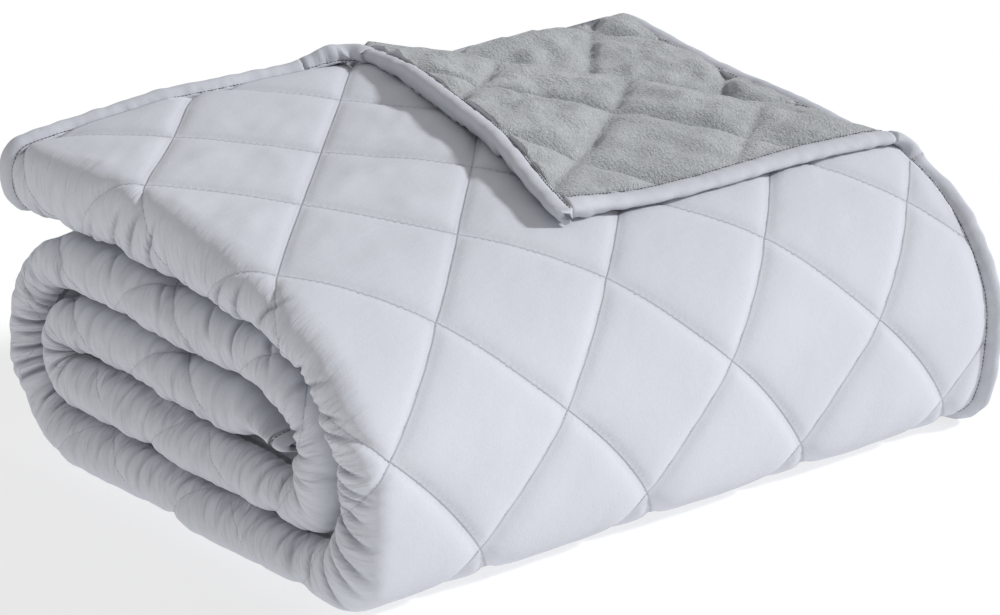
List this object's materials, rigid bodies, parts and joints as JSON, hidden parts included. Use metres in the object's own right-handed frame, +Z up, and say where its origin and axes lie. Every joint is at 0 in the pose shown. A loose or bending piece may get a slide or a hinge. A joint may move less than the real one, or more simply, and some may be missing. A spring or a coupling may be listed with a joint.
{
  "type": "folded blanket",
  "caption": "Quilted reversible blanket with a smooth face, plush back and bound edges, folded and rolled flat, one corner turned back.",
  "frame": {"origin": "under the middle of the folded pile, at the height of the surface it lies on", "axes": "+X along the folds towards the bound side edges, +Y towards the back, where the outer end lies on top, +Z up"},
  "size_m": [0.5804, 0.4426, 0.2565],
  "materials": {
    "smooth_cloth": "brushed matt microfibre, pale cool grey, with matching quilting thread",
    "plush_cloth": "short soft plush pile, mid grey",
    "tape_cloth": "smooth folded tape of the face cloth, edge-stitched",
    "sewing_thread": "fine polyester thread, slightly darker than the cloth"
  },
  "bodies": {
    "root": {"quilt": "smooth_cloth", "binding_outer_end": "tape_cloth", "binding_inner_end": "tape_cloth", "binding_upper_side": "tape_cloth", "binding_lower_side": "tape_cloth"}
  },
  "joints": []
}
